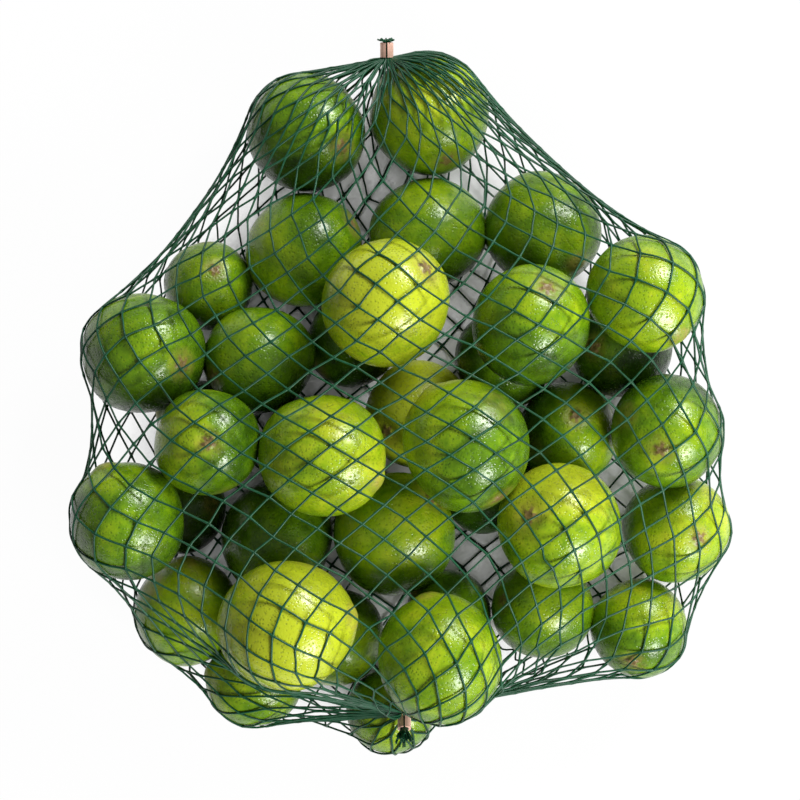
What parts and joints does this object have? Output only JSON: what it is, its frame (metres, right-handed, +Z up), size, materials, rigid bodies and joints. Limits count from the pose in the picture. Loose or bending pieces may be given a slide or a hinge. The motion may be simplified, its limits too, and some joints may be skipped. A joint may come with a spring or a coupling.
{
  "type": "net bag of limes",
  "caption": "Tube of green plastic net filled with whole limes, gathered and clipped shut at both ends, lying flat.",
  "frame": {"origin": "centre of the bag's box, on the surface it lies on", "axes": "+Y from the bottom clip to the top clip, +Z up out of the side shown"},
  "size_m": [0.2848, 0.3125, 0.0971],
  "materials": {
    "lime_skin": "waxy pored peel, soft uneven gloss",
    "clip_metal": "copper-coloured crimped strip",
    "net_plastic": "dark green extruded plastic net"
  },
  "bodies": {
    "root": {"lime_bag": "lime_skin", "top_clip": "clip_metal", "bottom_clip": "clip_metal", "top_tail": "net_plastic", "bottom_tail": "net_plastic"}
  },
  "joints": []
}
